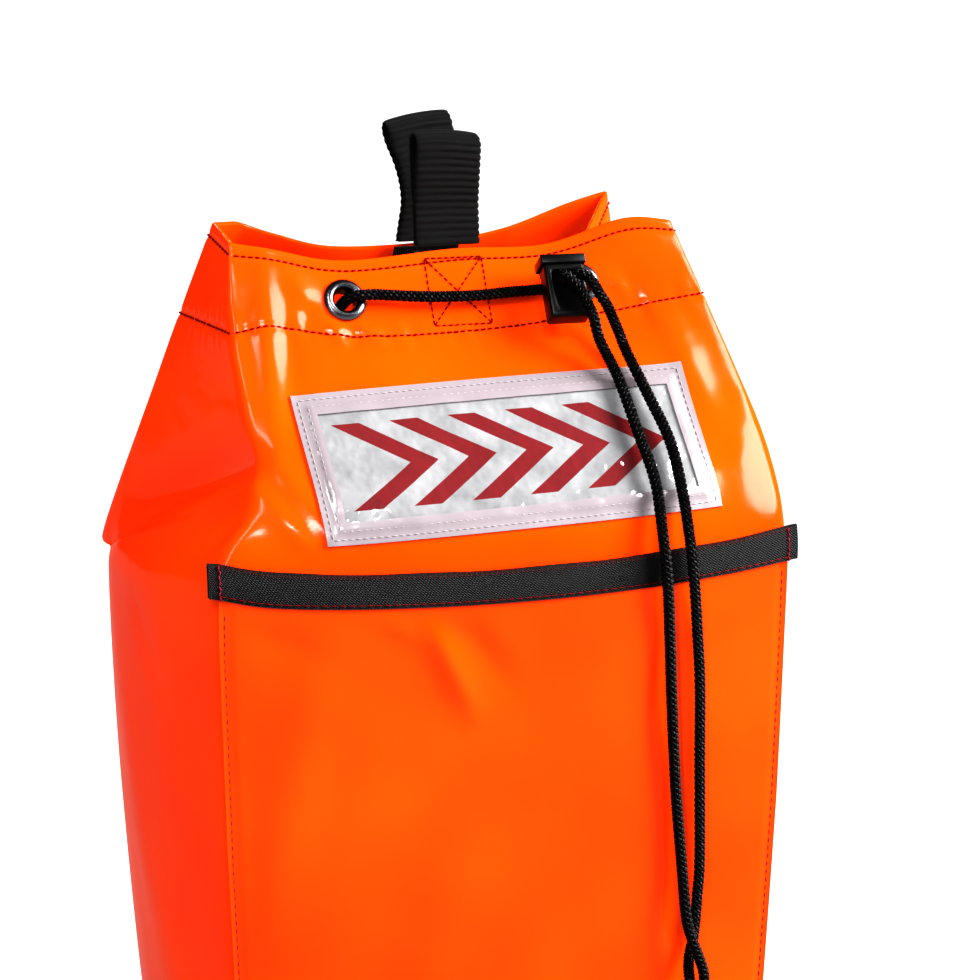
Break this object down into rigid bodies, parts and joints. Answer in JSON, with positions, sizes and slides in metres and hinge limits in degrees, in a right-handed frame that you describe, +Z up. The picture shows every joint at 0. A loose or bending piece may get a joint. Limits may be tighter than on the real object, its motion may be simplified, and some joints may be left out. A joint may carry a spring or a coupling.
{
  "type": "throw rope bag",
  "caption": "Soft box-shaped bag for a floating rescue rope, with a drawcord mouth, cord lock, front pocket, reflective label and webbing loops.",
  "frame": {"origin": "centre of the base, at the level that the bag stands on", "axes": "+Z up through the bag to its mouth, -Y out of the front with the pocket and label, +X to the right seen from the front"},
  "size_m": [0.2509, 0.1821, 0.4033],
  "materials": {
    "coated_fabric": "glossy fluorescent orange-red coated fabric",
    "binding_tape": "black herringbone tape",
    "foam": "closed-cell foam",
    "floating_rope": "yellow floating rope",
    "reflective_film": "silver-grey retroreflective film",
    "clear_vinyl": "clear vinyl",
    "dark_metal": "polished gunmetal",
    "webbing": "black ribbed webbing",
    "lock_plastic": "black moulded plastic",
    "spring_steel": "bare spring wire",
    "cord": "black braided cord"
  },
  "bodies": {
    "bag": {"front_panel": "coated_fabric", "back_panel": "coated_fabric", "left_side_panel": "coated_fabric", "right_side_panel": "coated_fabric", "base_panel": "coated_fabric", "front_pocket": "coated_fabric", "pocket_binding_tape": "binding_tape", "foam_float": "foam", "throw_rope": "floating_rope", "label_reflector": "reflective_film", "label_window": "clear_vinyl", "eyelet_front_left": "dark_metal", "eyelet_front_left_washer": "dark_metal", "eyelet_front_right": "dark_metal", "eyelet_front_right_washer": "dark_metal", "eyelet_back_left": "dark_metal", "eyelet_back_left_washer": "dark_metal", "eyelet_back_right": "dark_metal", "eyelet_back_right_washer": "dark_metal", "front_loop_sewn_tab": "webbing", "rear_loop_sewn_tab": "webbing", "drawcord": "cord"},
    "cord_lock": {"cord_lock_body": "lock_plastic", "cord_lock_spring": "spring_steel", "drawcord_tail_left": "cord", "drawcord_tail_right": "cord", "drawcord_knot": "cord"},
    "lock_button": {"cord_lock_button": "lock_plastic"},
    "front_loop": {"front_loop": "webbing"},
    "rear_loop": {"rear_loop": "webbing"}
  },
  "joints": [
    {"name": "lock_slide", "type": "slide", "parent": "bag", "child": "cord_lock", "axis": [-0.0527, -0.8397, 0.5405], "range_m": [0, 0.025], "deforming": ["drawcord"]},
    {"name": "lock_press", "type": "slide", "parent": "cord_lock", "child": "lock_button", "axis": [-0.0339, -0.5395, -0.8413], "range_m": [0, 0.0018], "stiffness_N_per_m": 600, "springref_m": -0.0015, "deforming": ["cord_lock_spring"]},
    {"name": "front_loop_fold", "type": "hinge", "parent": "bag", "child": "front_loop", "pos_m": [-0.001, -0.008, 0.3575], "axis": [1, 0, 0], "range_deg": [-18, 60]},
    {"name": "rear_loop_fold", "type": "hinge", "parent": "bag", "child": "rear_loop", "pos_m": [0.002, 0.0246, 0.3548], "axis": [1, 0, 0], "range_deg": [-70, 15]}
  ]
}
